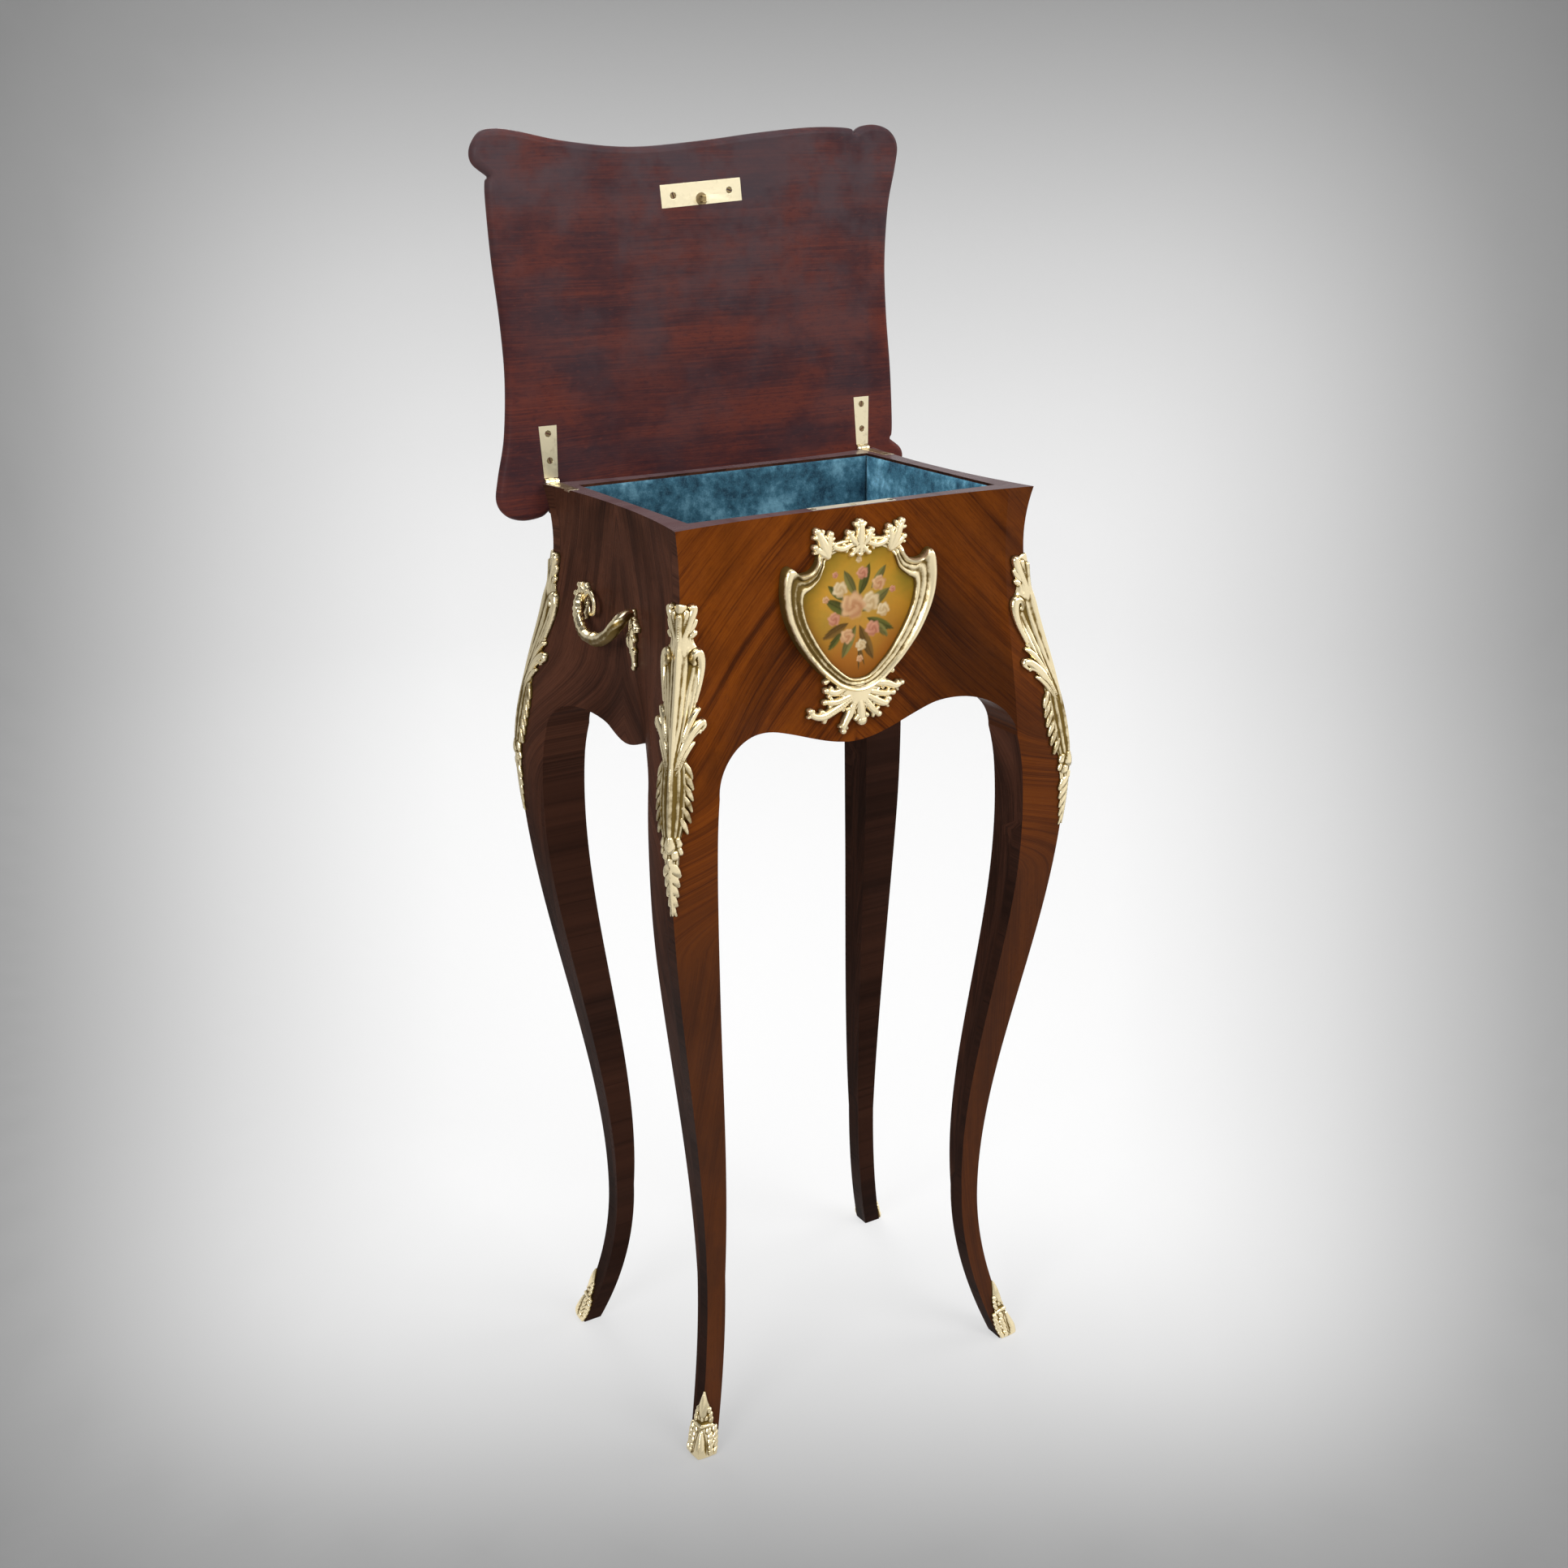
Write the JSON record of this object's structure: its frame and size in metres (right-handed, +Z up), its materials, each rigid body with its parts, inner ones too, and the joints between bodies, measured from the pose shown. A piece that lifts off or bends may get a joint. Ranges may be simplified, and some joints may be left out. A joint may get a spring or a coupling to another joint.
{
  "type": "work table",
  "caption": "Small serpentine work table on cabriole legs: a hinged lid over a velvet-lined well, gilt corner mounts and sabots, side handles, a lock and a framed front plaque.",
  "frame": {"origin": "on the floor under the middle of the case", "axes": "+X left to right along the front, +Y from front to back, +Z up"},
  "size_m": [0.368, 0.2757, 0.9935],
  "materials": {
    "kingwood_veneer": "polished",
    "dark_veneer": "polished",
    "mahogany": "satin",
    "secondary_wood": "raw",
    "gilt_bronze": "satin gilt",
    "brass": "satin",
    "steel": "dull",
    "velvet": "pile",
    "painted_plaque": "glazed"
  },
  "bodies": {
    "case": {"front_panel": "kingwood_veneer", "leg_front_left": "kingwood_veneer", "leg_front_right": "kingwood_veneer", "back_panel": "dark_veneer", "left_panel": "dark_veneer", "right_panel": "dark_veneer", "leg_back_left": "dark_veneer", "leg_back_right": "dark_veneer", "bottom_board": "secondary_wood", "cleat_front": "secondary_wood", "cleat_back": "secondary_wood", "lining_floor": "velvet", "lining_front": "velvet", "lining_back": "velvet", "lining_left": "velvet", "lining_right": "velvet", "hinge_case_leaf_left": "brass", "hinge_pin_left": "brass", "hinge_case_screw_left_1": "brass", "hinge_case_screw_left_2": "brass", "handle_left": "gilt_bronze", "handle_nut_left_back": "brass", "handle_nut_left_front": "brass", "hinge_case_leaf_right": "brass", "hinge_pin_right": "brass", "hinge_case_screw_right_1": "brass", "hinge_case_screw_right_2": "brass", "handle_right": "gilt_bronze", "handle_nut_right_back": "brass", "handle_nut_right_front": "brass", "lock_case": "steel", "lock_cover": "steel", "lock_spring": "steel", "lock_screw_1": "brass", "lock_screw_2": "brass", "corner_mount_front_left": "gilt_bronze", "sabot_front_left": "gilt_bronze", "corner_mount_front_right": "gilt_bronze", "sabot_front_right": "gilt_bronze", "corner_mount_back_left": "gilt_bronze", "sabot_back_left": "gilt_bronze", "corner_mount_back_right": "gilt_bronze", "sabot_back_right": "gilt_bronze", "cartouche_frame": "gilt_bronze", "painted_plaque": "painted_plaque"},
    "lid": {"lid_panel": "mahogany", "keep_plate": "brass", "keep_screw_1": "brass", "keep_screw_2": "brass", "hinge_lid_leaf_left": "brass", "hinge_lid_leaf_right": "brass", "hinge_lid_screw_left_1": "brass", "hinge_lid_screw_left_2": "brass", "hinge_lid_screw_right_1": "brass", "hinge_lid_screw_right_2": "brass"},
    "bolt": {"lock_bolt": "brass"}
  },
  "joints": [
    {"name": "lid_hinge", "type": "hinge", "parent": "case", "child": "lid", "pos_m": [0, 0.1102, 0.74], "axis": [1, 0, 0], "range_deg": [0, 93]},
    {"name": "bolt_slide", "type": "slide", "parent": "case", "child": "bolt", "axis": [1, 0, 0], "range_m": [0, 0.008]}
  ]
}
